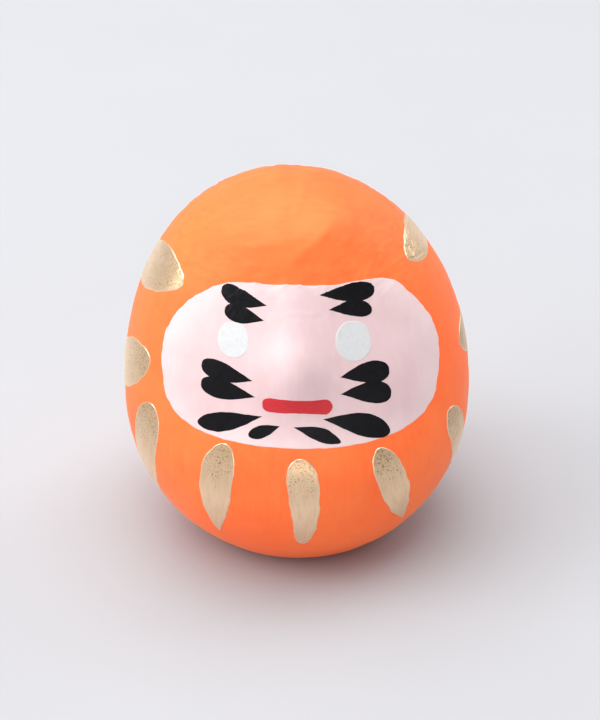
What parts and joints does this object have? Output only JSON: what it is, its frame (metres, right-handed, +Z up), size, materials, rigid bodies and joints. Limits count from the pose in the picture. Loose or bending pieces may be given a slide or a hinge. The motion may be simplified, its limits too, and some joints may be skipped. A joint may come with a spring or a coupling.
{
  "type": "daruma doll",
  "caption": "round papier-mache daruma doll, orange with a pale painted face, black brows and beard, blank eyes and gold brush strokes",
  "frame": {"origin": "centre of the paper disc under the base, on the table", "axes": "+Z up through the crown, -Y the way the face looks, +X the right side as you face the doll"},
  "size_m": [0.07, 0.0701, 0.0755],
  "materials": {
    "papier_mache": "layered pulp paper, dull and slightly fibrous",
    "washi": "thin pasted mulberry paper",
    "clay": "unfired dry clay",
    "gofun": "chalky white shell-powder ground",
    "orange_paint": "matte orange distemper paint, brushed by hand",
    "face_paint": "matte pale pink distemper paint",
    "white_paint": "white paint with a soft shine, raised at its rim",
    "black_paint": "black brush ink with a soft shine",
    "red_paint": "red paint with a soft shine",
    "gold_paint": "champagne gold metallic paint with darker specks"
  },
  "bodies": {
    "root": {"paper_shell": "papier_mache", "seam_strip": "washi", "clay_weight": "clay", "base_paper": "washi", "ground_coat": "gofun", "orange_coat": "orange_paint", "face_coat": "face_paint", "eye_left": "white_paint", "eye_right": "white_paint", "brow_left_upper": "black_paint", "brow_left_lower": "black_paint", "brow_right_upper": "black_paint", "brow_right_lower": "black_paint", "cheek_left_upper": "black_paint", "cheek_left_lower": "black_paint", "cheek_right_upper": "black_paint", "cheek_right_lower": "black_paint", "mouth": "red_paint", "beard_left_outer": "black_paint", "beard_left_inner": "black_paint", "beard_right_inner": "black_paint", "beard_right_outer": "black_paint", "gold_belly_centre": "gold_paint", "gold_belly_left": "gold_paint", "gold_belly_right": "gold_paint", "gold_hip_left": "gold_paint", "gold_hip_right": "gold_paint", "gold_side_left": "gold_paint", "gold_side_right": "gold_paint", "gold_shoulder_left": "gold_paint", "gold_shoulder_right": "gold_paint"}
  },
  "joints": []
}
